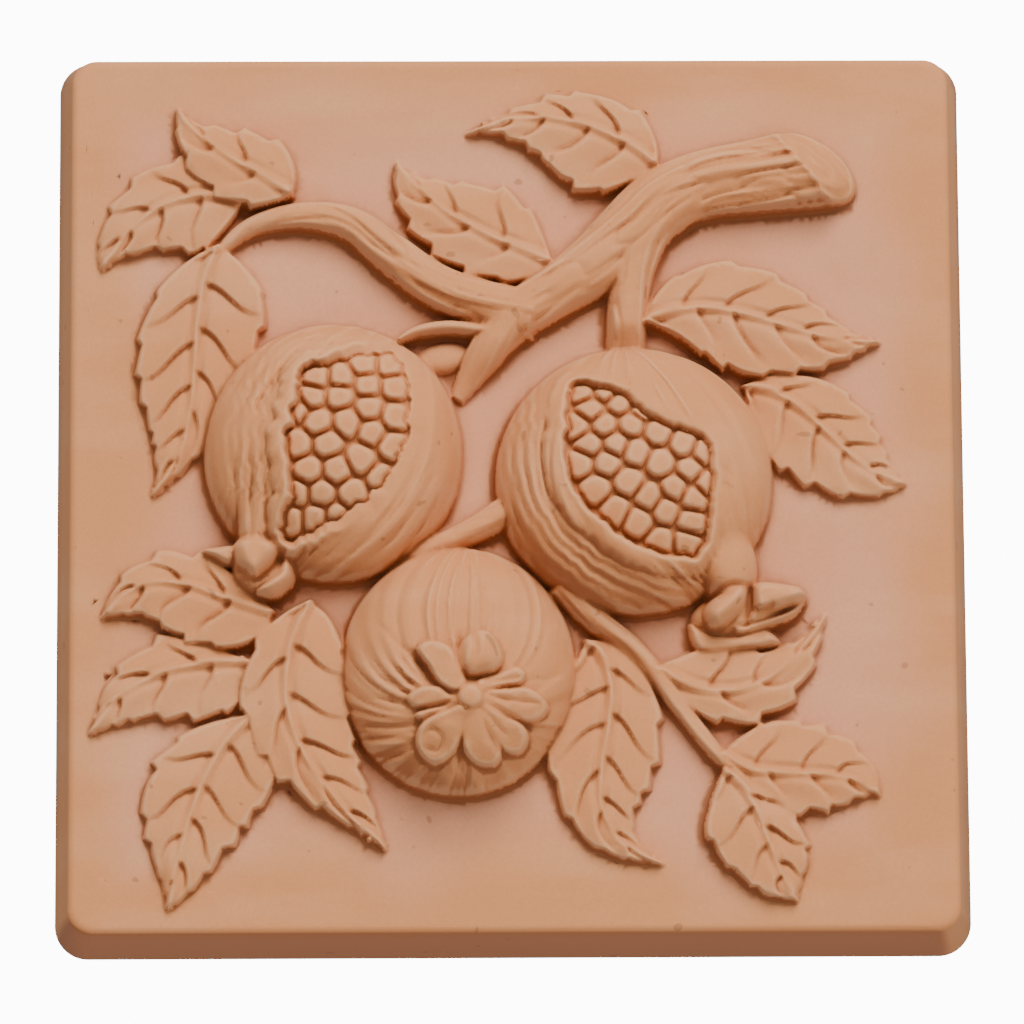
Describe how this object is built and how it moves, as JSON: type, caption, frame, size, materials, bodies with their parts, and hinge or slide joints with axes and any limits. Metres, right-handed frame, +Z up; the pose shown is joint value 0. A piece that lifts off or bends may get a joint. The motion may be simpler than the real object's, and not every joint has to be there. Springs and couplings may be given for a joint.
{
  "type": "decorative wall plaque",
  "caption": "Square terracotta wall plaque with split and whole pomegranates, a cut branch and toothed leaves in high relief, pressed as one solid.",
  "frame": {"origin": "centre of the flat back face, which goes against the wall", "axes": "+X to the right and +Z up for someone facing the relief, -Y out of the wall towards them, +Y into the wall"},
  "size_m": [0.3, 0.066, 0.3],
  "materials": {
    "terracotta": "unglazed and matt, under a thin worn wash"
  },
  "bodies": {
    "root": {"plaque": "terracotta"}
  },
  "joints": []
}
